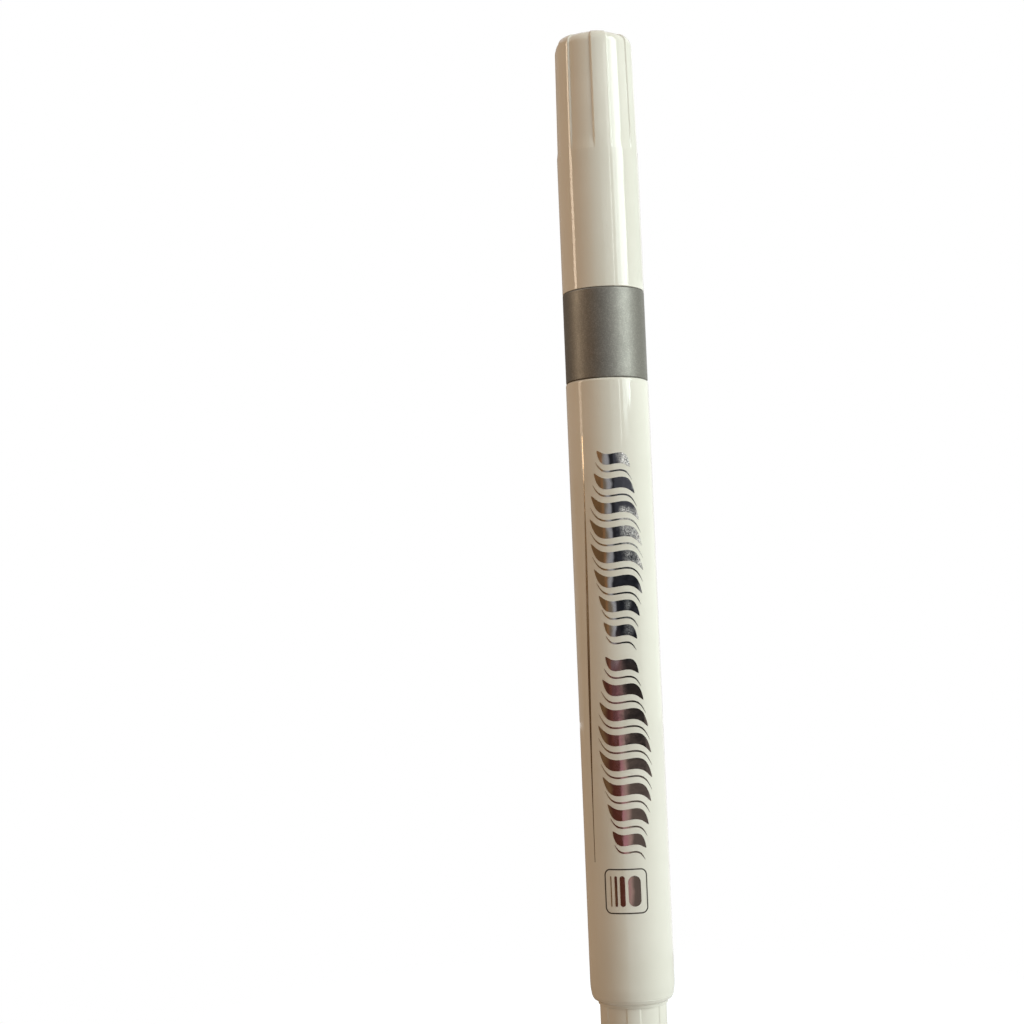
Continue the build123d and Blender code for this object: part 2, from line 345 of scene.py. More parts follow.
tail = lathe(
    "tail_plug_moulding",
    finer(eased([
        (0, 0),
        (tail_radius, 0, 0.5),
        (tail_radius, tail_top),
        (plug_radius, tail_top, 0.03),
        (plug_radius, snap_foot, 0.05),
        (snap_radius, snap_level, 0.1),
        (lead_radius, plug_top, 0.1),
        (hollow_radius, plug_top, 0.1),
        (hollow_radius, hollow_foot, 0.3),
        (0, hollow_foot),
    ]), longest=0.6),
    "marker",
    turns=480,
    press=press_tail,
)
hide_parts("tail_plug")

# %% [markdown]
# ## Colour ring
#
# The ring shows the paint's colour.  It is a plain sleeve with a softly rounded top edge.

# %% Colour ring
ring_top, ring_radius, ring_bore = 107.0, 5.72, 4.87
foot_bore, foot_top = 4.7, barrel_mouth + 0.8

ring = lathe(
    "color_ring_sleeve",
    eased([
        (foot_bore, barrel_mouth, 0.05),
        (ring_radius, barrel_mouth, 0.14),
        (ring_radius, ring_top, 0.22),
        (ring_bore, ring_top, 0.08),
        (ring_bore, foot_top, 0.05),
        (foot_bore, foot_top, 0.05),
    ]),
    "marker",
    turns=240,
)
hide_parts("color_ring")

# %% [markdown]
# ## Front section and nib
#
# Under the cap sits the front section: a neck with a grip bead, a sealing land and a tapered nose that
# holds the nib.  Four feed grooves run along the nib's bore, so there the bore's radius is pressed outwards.

# %% Front section
shank_radius, shank_foot = 4.68, 84.4
collar_radius, collar_foot = 4.85, 95.22
neck_radius, neck_top = 4.7, 117.5
land_radius, land_top = 3.4, 122.1
nose_foot_radius, nose_radius, nose_top = 3.1, 2.3, 130.0
guide_radius, guide_foot = 1.66, 112.5
feed_radius, feed_top = 2.6, 111.56
seat_radius, seat_top = 3.5, 91.4
groove_count, groove_width, groove_depth = 4, 0.7, 0.4


def press_grooves(radius, height, around):
    """Bore rows of the guide grow by the groove's depth inside four slots; all other rows stay."""
    off_slot = np.abs(guide_radius * np.sin(off_middle(around, groove_count, phase=0)))
    slots = s_curve(groove_width / 2 - off_slot, 0.1)
    in_guide = (np.abs(radius - guide_radius) < 0.06) & (height > guide_foot - 0.1)
    return radius + groove_depth * slots * in_guide


def bead(radius, rise, half, level):
    """Corners of one bead: its foot, its softened crest and its head."""
    return [(radius, level - half, 0.1), (radius + rise, level, 0.3), (radius, level + half, 0.1)]


section = lathe(
    "front_section_moulding",
    eased([
        (seat_radius, shank_foot, 0.05),
        (shank_radius, shank_foot, 0.1),
        *bead(shank_radius, rise=0.15, half=0.6, level=89.4),
        (shank_radius, collar_foot),
        (collar_radius, collar_foot),
        (collar_radius, ring_top, 0.04),
        (neck_radius, ring_top),
        *bead(neck_radius, rise=0.06, half=0.45, level=111.8),
        (neck_radius, neck_top, 0.6),
        (land_radius, neck_top, 0.15),
        (land_radius, land_top, 0.15),
        (nose_foot_radius, land_top, 0.1),
        (nose_radius, nose_top, 0.35),
        (guide_radius, nose_top, 0.05),
        (guide_radius, guide_foot),
        (feed_radius, feed_top),
        (feed_radius, seat_top),
        (seat_radius, seat_top),
    ]),
    "marker",
    turns=240,
    press=press_grooves,
)
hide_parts("front_section")

# %% Nib
nib_radius, nib_foot, nib_shoulder = 1.6, 108.2, 131.6
tip_radius, nib_tip = 1.0, 135.2

nib = lathe(
    "nib_fibre",
    eased([
        (0, nib_foot),
        (nib_radius, nib_foot, 0.35),
        (nib_radius, nib_shoulder, 0.8),
        (tip_radius, nib_tip, 0.8),
        (0, nib_tip),
    ], steps=10),
    "tip",
    turns=128,
)
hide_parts("nib")

# %% [markdown]
# ## Valve spring
#
# Pushing the nib opens a small valve against a steel coil.  A coil is a circle carried along a helix, and it
# has to get shorter while the stem comes down.  Here it is made at the length of the CAD spring.

# %% Valve spring
spring_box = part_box("valve_spring")
wire_radius, coil_radius, coil_turns = 0.2, 1.7, 3.0
spring_foot = spring_box[0].z / MM
spring_length = spring_box[1].z / MM - spring_foot


def coil(stations=260, sides=12):
    """Circle on a helix: c(t) = (R cos a, R sin a, z0 + h t) with a = 2 pi n t, plus w (cos b p + sin b q).

    p points away from the axis, and q stands across both p and the helix's direction.
    """
    t = np.linspace(0, 1, stations)[:, None]
    angle = 2 * np.pi * coil_turns * t
    rise = spring_length - 2 * wire_radius
    outward = np.concatenate([np.cos(angle), np.sin(angle), 0 * angle], axis=1)
    centre = coil_radius * outward
    centre[:, 2] = spring_foot + wire_radius + rise * t[:, 0]
    slope = rise / (2 * np.pi * coil_turns * coil_radius)
    along = np.concatenate([-np.sin(angle), np.cos(angle), slope + 0 * angle], axis=1) / np.hypot(1, slope)
    across = np.cross(along, outward)
    b = np.arange(sides) * 2 * np.pi / sides
    tube = np.cos(b)[:, None] * outward[:, None] + np.sin(b)[:, None] * across[:, None]
    points = (centre[:, None] + wire_radius * tube).reshape(-1, 3)
    index = np.arange(stations * sides).reshape(stations, sides)
    ahead = np.roll(index, -1, axis=1)
    walls = np.stack([index[:-1], ahead[:-1], ahead[1:], index[1:]], axis=-1).reshape(-1, 4)
    ends = [index[0][::-1].tolist(), index[-1].tolist()]
    return points, walls.tolist() + ends


spring = new_piece("valve_spring_coil", *coil(), "marker")
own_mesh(spring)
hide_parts("valve_spring")

# %% [markdown]
# ## Foil print
#
# The barrel carries a print in mirror foil: a plain ornament of slanted rope strokes in two spindles, a fine
# swelling line beside them and a small gauge panel.  A print could be a texture, but foil has an edge and a
# thickness, so each patch is a thin closed slab bent round the wall: a flat shape in arc length and height,
# wrapped on the cylinder.


# %% Slabs on the wall
foil_face, foil_back = barrel_radius - 0.01, wall_radius + 0.002
print(f"foil from {foil_back:.3f} to {foil_face:.3f} mm off the axis")


def wrap(arc, height, radius):
    """Flat place (arc length from the front, height) bent round Z: angle = arc / R, from -Y towards +X."""
    angle = arc / barrel_radius
    return np.stack([radius * np.sin(angle), -radius * np.cos(angle), height], axis=-1)


def slab(arc, height, loop=False):
    """Closed slabs from flat grids stacked as (patch, along, across): a top, a bottom and four rims.

    The sum of d_across x d_along over the grid tells its hand: a grid of the wrong hand is mirrored, so that
    all faces point outwards.  A loop meets its own start and has no end rims.
    """
    spin = np.diff(arc, axis=2)[:, :-1] * np.diff(height, axis=1)[..., :-1]
    spin = spin - np.diff(height, axis=2)[:, :-1] * np.diff(arc, axis=1)[..., :-1]
    if spin.sum() < 0:
        arc, height = arc[..., ::-1], height[..., ::-1]
    patches, along, across = arc.shape
    top = wrap(arc, height, foil_face)
    bottom = wrap(arc, height, foil_back)
    points = np.stack([top, bottom], axis=1).reshape(-1, 3)
    index = np.arange(patches * 2 * along * across).reshape(patches, 2, along, across)
    if loop:
        index = np.concatenate([index, index[:, :, :1]], axis=2)
    a, b = index[:, 0], index[:, 1]
    upper = np.stack([a[:, :-1, :-1], a[:, :-1, 1:], a[:, 1:, 1:], a[:, 1:, :-1]], axis=-1)
    lower = np.stack([b[:, :-1, :-1], b[:, 1:, :-1], b[:, 1:, 1:], b[:, :-1, 1:]], axis=-1)
    borders = [(a[:, :, 0], b[:, :, 0]), (a[:, ::-1, -1], b[:, ::-1, -1])]
    if not loop:
        borders += [(a[:, 0, ::-1], b[:, 0, ::-1]), (a[:, -1, :], b[:, -1, :])]
    rims = [np.stack([x[:, :-1], x[:, 1:], y[:, 1:], y[:, :-1]], axis=-1) for x, y in borders]
    faces = np.concatenate([f.reshape(-1, 4) for f in (upper, lower, *rims)])
    return points, faces.tolist()


# %% Rope strokes
group_middles = np.array([71.4, 43.3])
group_size, stroke_step = 8, 3.35
stroke_shift, stroke_bend, slant = 0.45, 0.11, np.radians(27)
shortest, growth, gather = 4.4, 4.2, 2.6


def rope_strokes(width, shift, taper, steps=65):
    """Two spindles of S strokes laid like the strands of a rope.

    Along u a stroke runs on a slanted line, bends aside by a sine of u and is W sin(pi u)^taper wide.  Its
    length grows with the squared cosine of its place in the spindle, so the middle strokes are the longest.
    """
    number = np.arange(group_size)[None] - (group_size - 1) / 2 + shift
    level = group_middles[:, None] - stroke_step * number
    length = shortest + growth * np.cos(number / group_size * gather) ** 2
    u = np.linspace(0, 1, steps)[:, None]
    v = np.linspace(-0.5, 0.5, 7)[None]
    run = length[..., None, None] * (u - 0.5)
    bend = -stroke_bend * length[..., None, None] * np.sin(2 * np.pi * u)
    side = bend + width * np.maximum(np.sin(np.pi * u), 2e-3) ** taper * v
    arc = stroke_shift + run * np.cos(slant) + side * np.sin(slant)
    height = level[..., None, None] - run * np.sin(slant) + side * np.cos(slant)
    shape = (-1, steps, v.size)
    return slab(*[flat.reshape(shape) for flat in np.broadcast_arrays(arc, height)])


foil_strokes = new_piece("foil_strokes", *rope_strokes(width=1.75, shift=0, taper=0.75), "marker")
foil_hairs = new_piece("foil_hairs", *rope_strokes(width=0.26, shift=0.5, taper=0.6), "marker")


# %% Swelling line and gauge panel
line_top, line_length = 86.5, 58.0
line_arc, line_drift = -4.5, 0.45
line_width, line_swell = 0.1, 0.34
panel_arc, panel_height = -0.33, 24.75


def swelling_line():
    """A ribbon down the barrel: its middle drifts by half a cosine, its width swells by a squared sine."""
    t = np.linspace(0, 1, 161)[None, :, None]
    v = np.linspace(-0.5, 0.5, 3)[None, None]
    middle = line_arc + line_drift * np.cos(np.pi * t)
    width = line_width + line_swell * np.sin(np.pi * t) ** 2
    return slab(middle + width * v, line_top - line_length * t + 0 * v)


def panel_outline(half=3.0, rounding=0.9, pen=0.17):
    """A square with rounded corners as a ring: the inner outline lies a pen's width along the normals."""
    signs = [(-1, -1), (1, -1), (1, 1), (-1, 1)]
    outer = finer(eased([(half * a, half * b, rounding) for a, b in signs], steps=12), longest=0.2)
    along = np.roll(outer, -1, axis=0) - np.roll(outer, 1, axis=0)
    along /= np.linalg.norm(along, axis=1, keepdims=True)
    inner = outer + pen * np.stack([-along[:, 1], along[:, 0]], axis=1)
    ring_line = np.stack([outer, inner], axis=1)[None]
    return slab(panel_arc + ring_line[..., 0], panel_height + ring_line[..., 1], loop=True)


def gauge_bars(half=2.05):
    """Upright bars with round ends, twice `half` long and from a hairline to nearly the nib tip's width."""
    place = np.array([-2.05, -1.35, -0.45, 1.2])[:, None, None]
    width = np.array([0.16, 0.36, 0.7, 1.7])[:, None, None]
    t = np.linspace(-1, 1, 49)[None, :, None]
    v = np.linspace(-0.5, 0.5, 9)[None, None]
    beyond = np.clip((np.abs(t) * half - half + width / 2) / (width / 2), 0, 1)
    close = np.maximum(np.sqrt(1 - beyond**2), 0.02)
    return slab(panel_arc + place + width * v * close, panel_height + t * half + 0 * width * v)


foil_line = new_piece("foil_line", *swelling_line(), "marker")
gauge_panel = new_piece("gauge_panel", *panel_outline(), "marker")
gauge_marks = new_piece("gauge_marks", *gauge_bars(), "marker")

# %% [markdown]
# ## Shared effects as node groups
#
# Three effects are used more than once: a soft mottle as in any moulding, hairline marks from handling, and
# the flakes of a metallic pigment.  Each one is a node group, so a material only chooses values.
# `add` places a node and fills its sockets: a socket given as a value is linked, anything else is set.


# %% Node helpers
def add(tree, kind, sockets=None, **settings):
    """New node of a kind, with its settings, and its sockets either linked or set."""
    made = tree.nodes.new(kind)
    for name, value in settings.items():
        setattr(made, name, value)
    for name, value in (sockets or {}).items():
        if isinstance(value, bpy.types.NodeSocket):
            tree.links.new(value, made.inputs[name])
        else:
            made.inputs[name].default_value = value
    return made


def speckle(tree, place, scale, low, high):
    """Noise of that scale, spread so that low becomes nought and high becomes one."""
    noise = add(tree, "ShaderNodeTexNoise", {"Vector": place, "Scale": scale, "Detail": 3.0})
    return add(tree, "ShaderNodeMapRange", {0: noise.outputs[0], 1: low, 2: high}).outputs[0]


def new_group(name, inputs, outputs):
    """Node group with named float or vector inputs and float outputs; returns its tree and both ends."""
    tree = bpy.data.node_groups.new(name, "ShaderNodeTree")
    for label, value in inputs.items():
        kind = "NodeSocketVector" if value is None else "NodeSocketFloat"
        socket = tree.interface.new_socket(label, in_out="INPUT", socket_type=kind)
        if value is not None:
            socket.default_value = value
    for label in outputs:
        tree.interface.new_socket(label, in_out="OUTPUT", socket_type="NodeSocketFloat")
    return tree, add(tree, "NodeGroupInput").outputs, add(tree, "NodeGroupOutput").inputs


# %% Mottle, hairlines and flakes
mottle, taken, given = new_group("soft_mottle", {"Place": None, "Scale": 200.0}, ["Mask"])
mottle.links.new(speckle(mottle, taken["Place"], taken["Scale"], low=0.3, high=0.7), given["Mask"])

hairlines, taken, given = new_group("hairline_marks", {"Place": None, "Scale": 1.0, "Width": 0.03}, ["Mask"])
lines = []
for turn, seed in ((0.35, 0.0), (-0.6, 4.0), (1.2, 9.0)):
    turned = add(hairlines, "ShaderNodeMapping", {
        "Vector": taken["Place"],
        "Location": (seed, seed, seed),
        "Rotation": (turn, turn / 2, turn),
        "Scale": (900, 900, 45),
    })
    streak = add(hairlines, "ShaderNodeTexNoise", {
        "Vector": turned.outputs[0],
        "Scale": taken["Scale"],
        "Detail": 1.0,
    })
    off = add(hairlines, "ShaderNodeMath", {0: streak.outputs[0], 1: 0.5}, operation="SUBTRACT")
    size = add(hairlines, "ShaderNodeMath", {0: off.outputs[0]}, operation="ABSOLUTE")
    thin = {0: size.outputs[0], 1: 0.0, 2: taken["Width"], 3: 1.0, 4: 0.0}
    lines.append(add(hairlines, "ShaderNodeMapRange", thin).outputs[0])
crossings = []
for one, other in zip(lines, lines[1:]):
    crossings.append(add(hairlines, "ShaderNodeMath", {0: one, 1: other}, operation="MULTIPLY").outputs[0])
most = add(hairlines, "ShaderNodeMath", {0: crossings[0], 1: crossings[1]}, operation="MAXIMUM")
hairlines.links.new(most.outputs[0], given["Mask"])

flakes, taken, given = new_group("metal_flakes", {"Place": None, "Scale": 9000.0}, ["Tint", "Height"])
cells = add(flakes, "ShaderNodeTexVoronoi", {"Vector": taken["Place"], "Scale": taken["Scale"]})
parts = add(flakes, "ShaderNodeSeparateColor", {0: cells.outputs["Color"]})
flakes.links.new(parts.outputs[0], given["Tint"])
flakes.links.new(parts.outputs[1], given["Height"])
print("node groups:", [tree.name for tree in (mottle, hairlines, flakes)])

# %% [markdown]
# ## Glossy white plastic
#
# Barrel, cap and tail are moulded in one warm white.  A shop-new moulding is never quite even: its colour
# drifts a little, its gloss is smeared by fingers, and the wall waves by a few thousandths of a millimetre,
# which is what bends the edge of a window's reflection.


# %% Finishes made of moulded plastic
def grouped(tree, group, sockets):
    """A node group placed in a material, with its own values."""
    return add(tree, "ShaderNodeGroup", sockets, node_tree=group).outputs


def new_finish(name):
    """Material with a principled shader; returns it with its tree, the shader and Object coordinates."""
    finish = bpy.data.materials.new(name)
    finish.use_nodes = True
    tree = finish.node_tree
    shader = tree.nodes["Principled BSDF"]
    place = add(tree, "ShaderNodeTexCoord").outputs["Object"]
    return finish, tree, shader, place


def between(tree, mask, low, high):
    """Value running from low to high with the mask."""
    return add(tree, "ShaderNodeMapRange", {0: mask, 3: low, 4: high}).outputs[0]


def tinted(tree, mask, low, high):
    """Colour running from low to high with the mask."""
    mix = add(tree, "ShaderNodeMix", {0: mask}, data_type="RGBA")
    mix.inputs[6].default_value = (*low, 1)
    mix.inputs[7].default_value = (*high, 1)
    return mix.outputs[2]


def moulded(name, low, high, gloss, wave):
    """Moulded plastic: two close colours, a smeared gloss, a slow wave in the wall and faint hairlines.

    `gloss` is the range of roughness, and `wave` is the wave's height in millimetres.
    """
    finish, tree, shader, place = new_finish(name)
    drift = grouped(tree, mottle, {"Place": place, "Scale": 90.0})["Mask"]
    smear = grouped(tree, mottle, {"Place": place, "Scale": 420.0})["Mask"]
    marks = grouped(tree, hairlines, {"Place": place, "Scale": 1.0, "Width": 0.035})["Mask"]
    tree.links.new(tinted(tree, drift, low, high), shader.inputs["Base Color"])
    dull = between(tree, smear, *gloss)
    rough = add(tree, "ShaderNodeMath", {0: marks, 1: 0.12, 2: dull}, operation="MULTIPLY_ADD")
    tree.links.new(rough.outputs[0], shader.inputs["Roughness"])
    slow = add(tree, "ShaderNodeTexNoise", {"Vector": place, "Scale": 170.0, "Detail": 1.0})
    swell = add(tree, "ShaderNodeBump", {"Height": slow.outputs[0], "Strength": 1.0, "Distance": wave * MM})
    scratch = add(tree, "ShaderNodeBump", {
        "Height": marks,
        "Strength": 0.4,
        "Distance": 0.002 * MM,
        "Normal": swell.outputs[0],
    })
    scratch.invert = True
    tree.links.new(scratch.outputs[0], shader.inputs["Normal"])
    return finish


white_gloss = moulded("white_gloss_plastic", (0.80, 0.785, 0.70), (0.86, 0.845, 0.765), (0.04, 0.09), 0.01)
white_section = moulded("white_section_plastic", (0.76, 0.76, 0.73), (0.82, 0.82, 0.79), (0.28, 0.4), 0.006)
liner_plastic = moulded("liner_plastic_soft", (0.70, 0.71, 0.70), (0.78, 0.79, 0.78), (0.4, 0.55), 0.004)
valve_plastic = moulded("valve_plastic_grey", (0.42, 0.44, 0.46), (0.50, 0.52, 0.54), (0.35, 0.5), 0.004)
seal_rubber = moulded("seal_rubber_black", (0.018, 0.018, 0.02), (0.035, 0.035, 0.036), (0.6, 0.8), 0.006)
panel_ink = moulded("panel_ink_brown", (0.028, 0.02, 0.015), (0.045, 0.033, 0.025), (0.5, 0.65), 0.004)
moulded_finishes = [white_gloss, white_section, liner_plastic, valve_plastic, seal_rubber, panel_ink]
print("moulded finishes:", [finish.name for finish in moulded_finishes])

# %% [markdown]
# ## Metallic ring, steel and foil
#
# The ring is plastic with a metallic pigment: thousands of flakes, each tilted its own way, give a fine
# sparkle on a satin grey.  The foil is a mirror whose colour carries painted reflections of the room: gold,
# silver and black in turn round the wall above and maroon turning to brown below, set by the sideways place
# as seen from the front.  It also has the faint wrinkling of a film pressed on by heat.
# On the right it crackles to silver in places, which is noise cut off at a level and masked by softer noise.


# %% Ring, foil and steel
def satin_silver():
    """Metallic pigment: each flake has its own grey and its own tilt."""
    finish, tree, shader, place = new_finish("silver_satin_pigment")
    flake = grouped(tree, flakes, {"Place": place, "Scale": 12000.0})
    coarse = grouped(tree, flakes, {"Place": place, "Scale": 7000.0})
    both_tints = add(tree, "ShaderNodeMath", {0: flake["Tint"], 1: coarse["Tint"]}, operation="MULTIPLY")
    grey = tinted(tree, both_tints.outputs[0], (0.178, 0.17, 0.15), (0.262, 0.251, 0.222))
    tree.links.new(grey, shader.inputs["Base Color"])
    smear = grouped(tree, mottle, {"Place": place, "Scale": 500.0})["Mask"]
    tree.links.new(between(tree, smear, 0.42, 0.5), shader.inputs["Roughness"])
    shader.inputs["Metallic"].default_value = 0.95
    grain = add(tree, "ShaderNodeBump", {"Height": flake["Height"], "Strength": 0.25, "Distance": 0.02 * MM})
    tree.links.new(grain.outputs[0], shader.inputs["Normal"])
    return finish


def ramp(tree, value, stops):
    """Colour that passes through the stops, given as {place: colour}."""
    made = add(tree, "ShaderNodeValToRGB", {0: value})
    band = made.color_ramp
    while len(band.elements) < len(stops):
        band.elements.new(0.5)
    for element, (spot, colour) in zip(band.elements, sorted(stops.items())):
        element.position = spot
        element.color = (*colour, 1)
    return made.outputs[0]


def mirror_foil():
    """Hot-stamped mirror foil with painted reflections in its colour: gold, silver and black round the wall
    above and gold, maroon and brown lower down, set by the sideways place as seen from the front.

    Where the film didn't quite take, at some stroke ends on the right, it crackles to bare silver.
    """
    finish, tree, shader, place = new_finish("mirror_foil")
    spot = add(tree, "ShaderNodeSeparateXYZ", {0: place}).outputs
    edge = barrel_radius * MM
    sideways = add(tree, "ShaderNodeMapRange", {0: spot["X"], 1: -edge, 2: edge}).outputs[0]
    waver = add(tree, "ShaderNodeTexNoise", {"Vector": place, "Scale": 330.0, "Detail": 2.0})
    sway = 0.16
    swayed = {0: waver.outputs[0], 1: sway, 2: -sway / 2}
    drift = add(tree, "ShaderNodeMath", swayed, operation="MULTIPLY_ADD")
    across = add(tree, "ShaderNodeMath", {0: sideways, 1: drift.outputs[0]}).outputs[0]
    # Painted reflections above: gold where the warm wood on the left is mirrored, a bright silver line, black
    # where the front lies in shade, grey towards the pale right.
    upper = ramp(tree, across, {
        0.1: (0.62, 0.58, 0.52),
        0.22: (0.53, 0.43, 0.29),
        0.41: (0.44, 0.36, 0.26),
        0.45: (0.80, 0.80, 0.80),
        0.475: (0.76, 0.78, 0.81),
        0.5: (0.045, 0.046, 0.055),
        0.76: (0.06, 0.06, 0.07),
        0.88: (0.34, 0.33, 0.31),
    })
    # Painted reflections below: gold, maroon and brown where the low room is mirrored.
    lower = ramp(tree, across, {
        0.1: (0.26, 0.19, 0.13),
        0.3: (0.52, 0.42, 0.3),
        0.36: (0.26, 0.12, 0.13),
        0.47: (0.31, 0.14, 0.15),
        0.53: (0.28, 0.18, 0.155),
        0.58: (0.1, 0.073, 0.06),
        0.78: (0.085, 0.066, 0.058),
        0.88: (0.26, 0.22, 0.19),
    })
    crackle = speckle(tree, place, scale=6500.0, low=0.4, high=0.52)
    patches = speckle(tree, place, scale=170.0, low=0.46, high=0.54)
    on_the_right = add(tree, "ShaderNodeMapRange", {0: across, 1: 0.57, 2: 0.64}).outputs[0]
    for mask in (patches, on_the_right):
        crackle = add(tree, "ShaderNodeMath", {0: crackle, 1: mask}, operation="MULTIPLY").outputs[0]
    silver = add(tree, "ShaderNodeMix", {0: crackle, 6: upper}, data_type="RGBA")
    silver.inputs[7].default_value = (0.6, 0.59, 0.55, 1)
    # Below 60 mm the painted reflection turns to the lower tones, fully by 54 mm.
    change_top, change_foot = 60 * MM, 54 * MM
    lower_reflection_share = add(tree, "ShaderNodeMapRange", {0: spot["Z"], 1: change_top, 2: change_foot}).outputs[0]
    tones = {0: lower_reflection_share, 6: silver.outputs[2], 7: lower}
    both = add(tree, "ShaderNodeMix", tones, data_type="RGBA").outputs[2]
    tree.links.new(both, shader.inputs["Base Color"])
    smear = grouped(tree, mottle, {"Place": place, "Scale": 900.0})["Mask"]
    tree.links.new(between(tree, smear, 0.08, 0.18), shader.inputs["Roughness"])
    shader.inputs["Metallic"].default_value = 1.0
    film = add(tree, "ShaderNodeTexNoise", {"Vector": place, "Scale": 800.0, "Detail": 2.0})
    wrinkle = add(tree, "ShaderNodeBump", {"Height": film.outputs[0], "Strength": 0.5, "Distance": 0.03 * MM})
    tree.links.new(wrinkle.outputs[0], shader.inputs["Normal"])
    return finish


def drawn_steel(name, low, high):
    """Bright steel with fine hairlines and smears."""
    finish, tree, shader, place = new_finish(name)
    smear = grouped(tree, mottle, {"Place": place, "Scale": 700.0})["Mask"]
    marks = grouped(tree, hairlines, {"Place": place, "Scale": 2.0, "Width": 0.06})["Mask"]
    tree.links.new(tinted(tree, smear, low, high), shader.inputs["Base Color"])
    dull = between(tree, smear, 0.16, 0.28)
    rough = add(tree, "ShaderNodeMath", {0: marks, 1: 0.15, 2: dull}, operation="MULTIPLY_ADD")
    tree.links.new(rough.outputs[0], shader.inputs["Roughness"])
    shader.inputs["Metallic"].default_value = 1.0
    return finish


silver_satin = satin_silver()
foil = mirror_foil()
spring_steel = drawn_steel("spring_steel_wire", (0.48, 0.48, 0.49), (0.60, 0.60, 0.60))
ball_steel = drawn_steel("ball_steel_ground", (0.55, 0.55, 0.56), (0.66, 0.66, 0.66))
print("nodes:", {finish.name: len(finish.node_tree.nodes) for finish in (silver_satin, foil, spring_steel)})

# %% [markdown]
# ## Fibre
#
# The nib is pressed from straight fibres.  Noise stretched along Z gives the strands, in colour and relief.


# %% Fibre
def pressed_fibre():
    """Strands along Z: noise squeezed across and drawn out along the axis."""
    finish, tree, shader, place = new_finish("fibre_nib")
    drawn = add(tree, "ShaderNodeMapping", {"Vector": place, "Scale": (9000, 9000, 500)})
    strand = add(tree, "ShaderNodeTexNoise", {"Vector": drawn.outputs[0], "Scale": 1.0, "Detail": 4.0})
    straw = tinted(tree, strand.outputs[0], (0.52, 0.51, 0.48), (0.84, 0.83, 0.79))
    tree.links.new(straw, shader.inputs["Base Color"])
    tree.links.new(between(tree, strand.outputs[0], 0.75, 0.95), shader.inputs["Roughness"])
    height = strand.outputs[0]
    relief = add(tree, "ShaderNodeBump", {"Height": height, "Strength": 0.8, "Distance": 0.03 * MM})
    tree.links.new(relief.outputs[0], shader.inputs["Normal"])
    return finish


fibre = pressed_fibre()
print(fibre.name, "has", len(fibre.node_tree.nodes), "nodes")

# %% Finishes onto pieces
finishes = {
    white_gloss: [barrel, cap, tail],
    white_section: [section],
    liner_plastic: [liner],
    silver_satin: [ring],
    foil: [foil_strokes, foil_hairs, foil_line, gauge_marks],
    panel_ink: [gauge_panel],
    fibre: [nib],
    spring_steel: [spring],
    valve_plastic: [nodes["valve_seat"], nodes["valve_cage"], nodes["valve_stem"]],
    seal_rubber: [nodes["stem_seal"]],
    ball_steel: [nodes["mixing_ball"]],
}
for finish, pieces in finishes.items():
    for piece in pieces:
        piece.data.materials.clear()
        piece.data.materials.append(finish)
print("finishes:", {finish.name: [piece.name for piece in pieces] for finish, pieces in finishes.items()})

# %% [markdown]
# ## Studio
#
# A tall window on the right is the key, dimmer along its near edge and with a sliver of light beside it.  It
# starts a little above eye level, so its reflection runs down the cap and fades out below the barrel's mouth.
# Its sill climbs from pane to pane, so the fading gleam narrows towards its foot.  A strip on the left, which
# dims step by step towards its own foot, draws the thin line there, and a lamp behind fills the back without
# a reflection.  Cards stand for the rest of the room: warm wood on the left and under it, grey behind, shade
# in front, paper at the foot and a pale wall on the right.  They glow from one side only, and the camera
# never sees them.


# %% Lamps
def window(name, azimuth, distance, width, low, high, radiance, colour):
    """Upright area lamp that faces the axis, in degrees and metres; its watts are radiance x area x pi."""
    lamp = bpy.data.lights.new(name, "AREA")
    lamp.shape = "RECTANGLE"
    lamp.size, lamp.size_y = width, high - low
    lamp.energy = radiance * width * (high - low) * np.pi
    lamp.color = colour
    made = bpy.data.objects.new(name, lamp)
    outward = Vector((np.sin(np.radians(azimuth)), -np.cos(np.radians(azimuth)), 0))
    made.location = outward * distance + Vector((0, 0, (low + high) / 2))
    made.rotation_mode = "QUATERNION"
    made.rotation_quaternion = (-outward).to_track_quat("-Z", "Y")
    made.visible_camera = False
    bpy.context.scene.collection.objects.link(made)
    print(f"{name}: {lamp.energy:.2f} W")
    return made


daylight, lamplight = (0.87, 0.985, 0.975), (1.0, 0.82, 0.63)
sliver_light, root_light, fill_light = (0.95, 0.985, 0.96), (1.0, 0.86, 0.7), (0.93, 0.97, 1.0)
pane = {"distance": 0.6, "high": 0.76, "colour": daylight}
behind_pane = pane | {"distance": 0.6004}
strip = {"azimuth": -82, "distance": 0.55, "width": 0.08}

window("key_window", azimuth=61.65, width=0.1336, low=0.1695, radiance=7.7, **pane)
window("key_far", azimuth=72.55, width=0.0955, low=0.19, radiance=7.7, **pane)
window("key_edge", azimuth=49.3, width=0.1262, low=0.16, radiance=4.2, **behind_pane)
window(
    "key_sliver",
    azimuth=34,
    distance=0.6,
    width=0.026,
    low=0.15,
    high=0.42,
    radiance=5.0,
    colour=sliver_light,
)
window("left_strip", **strip, low=0.195, high=0.6, radiance=7.2, colour=lamplight)
window("left_strip_foot", **strip, low=0.115, high=0.195, radiance=3.4, colour=lamplight)
window("left_strip_root", **strip, low=0.02, high=0.115, radiance=1.2, colour=root_light)
back_fill = window(
    "back_fill",
    azimuth=200,
    distance=0.7,
    width=0.4,
    low=0.05,
    high=0.6,
    radiance=3.6,
    colour=fill_light,
)
back_fill.visible_glossy = False


# %% Cards
def one_way(tree, shader):
    """Ends a material: the shader on the front of each face, nothing at all on its back."""
    behind = add(tree, "ShaderNodeNewGeometry").outputs["Backfacing"]
    clear = add(tree, "ShaderNodeBsdfTransparent").outputs[0]
    both_sides = add(tree, "ShaderNodeMixShader", {0: behind, 1: shader.outputs[0], 2: clear})
    tree.links.new(both_sides.outputs[0], tree.nodes["Material Output"].inputs[0])


